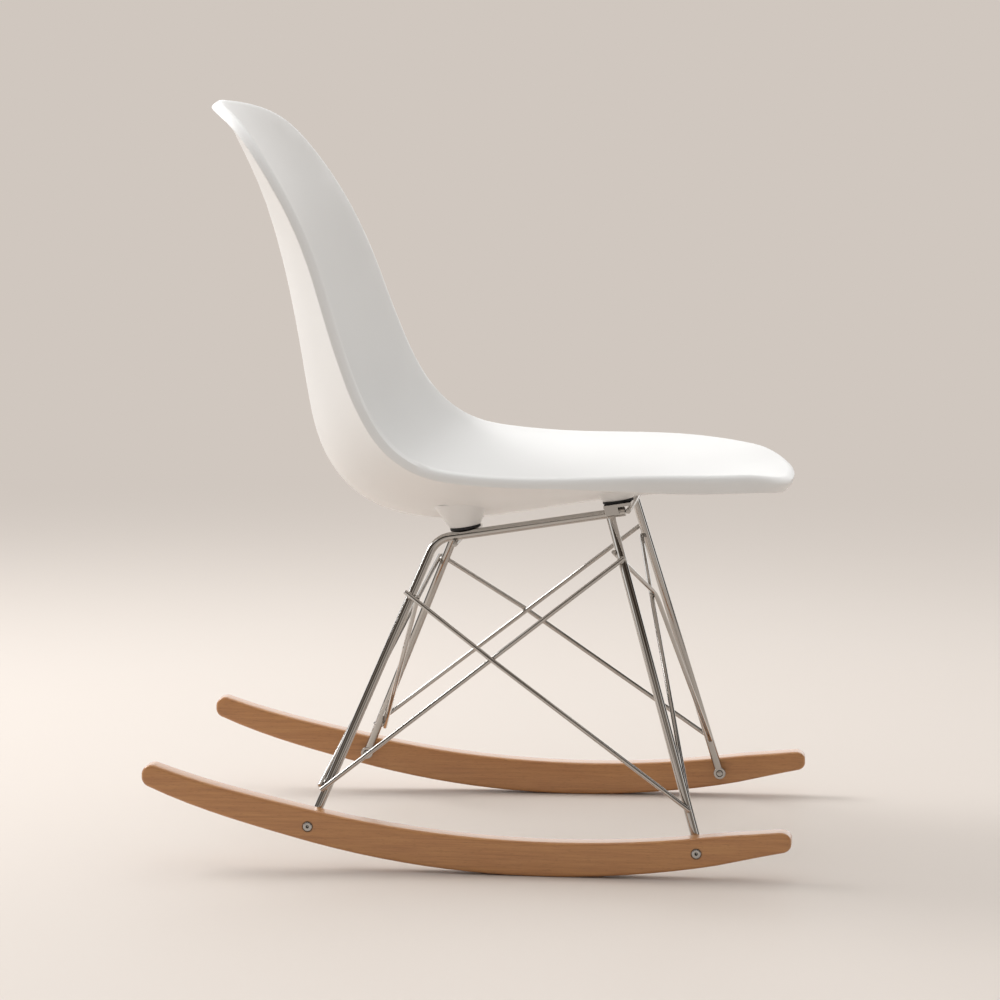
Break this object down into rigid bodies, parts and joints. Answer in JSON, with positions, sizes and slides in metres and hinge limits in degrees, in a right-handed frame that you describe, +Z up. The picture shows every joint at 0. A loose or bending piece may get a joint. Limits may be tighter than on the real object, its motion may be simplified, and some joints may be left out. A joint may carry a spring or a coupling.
{
  "type": "moulded plastic rocking chair",
  "caption": "One-piece moulded bucket seat screwed to a splayed base of bent and crossed steel wire, bolted to two curved wooden rockers.",
  "frame": {"origin": "On the floor, under the middle of the chair's bounding box.", "axes": "+Z up, +X the sitter's left, the chair faces -Y. It is set down as in the picture, on the lowest line of both rockers."},
  "size_m": [0.4662, 0.6032, 0.7064],
  "materials": {
    "moulded_polypropylene": "white, satin, fine moulded texture",
    "chromed_steel": "bright chrome plate on drawn steel wire",
    "lacquered_beech": "clear satin lacquer over straight grain",
    "black_rubber": "matt, moulded",
    "zinc_plated_steel": "bright zinc plate",
    "turned_brass": "turned"
  },
  "bodies": {
    "root": {"front_brace_left": "chromed_steel", "front_brace_right": "chromed_steel", "front_cross_rod": "chromed_steel", "front_foot_bush_left": "chromed_steel", "front_foot_bush_right": "chromed_steel", "front_leg_left": "chromed_steel", "front_leg_right": "chromed_steel", "mount_pad_front_left": "black_rubber", "mount_pad_front_right": "black_rubber", "mount_pad_rear_left": "black_rubber", "mount_pad_rear_right": "black_rubber", "mount_plate_front_left": "chromed_steel", "mount_plate_front_right": "chromed_steel", "mount_plate_rear_left": "chromed_steel", "mount_plate_rear_right": "chromed_steel", "mount_screws": "zinc_plated_steel", "mount_washers": "zinc_plated_steel", "rear_brace_left": "chromed_steel", "rear_brace_right": "chromed_steel", "rear_cross_rod": "chromed_steel", "rear_foot_bush_left": "chromed_steel", "rear_foot_bush_right": "chromed_steel", "rocker_bolts": "zinc_plated_steel", "rocker_left": "lacquered_beech", "rocker_right": "lacquered_beech", "seat_shell": "moulded_polypropylene", "side_brace_inner_left": "chromed_steel", "side_brace_inner_right": "chromed_steel", "side_brace_outer_left": "chromed_steel", "side_brace_outer_right": "chromed_steel", "side_rod_left": "chromed_steel", "side_rod_right": "chromed_steel", "threaded_inserts": "turned_brass"}
  },
  "joints": []
}
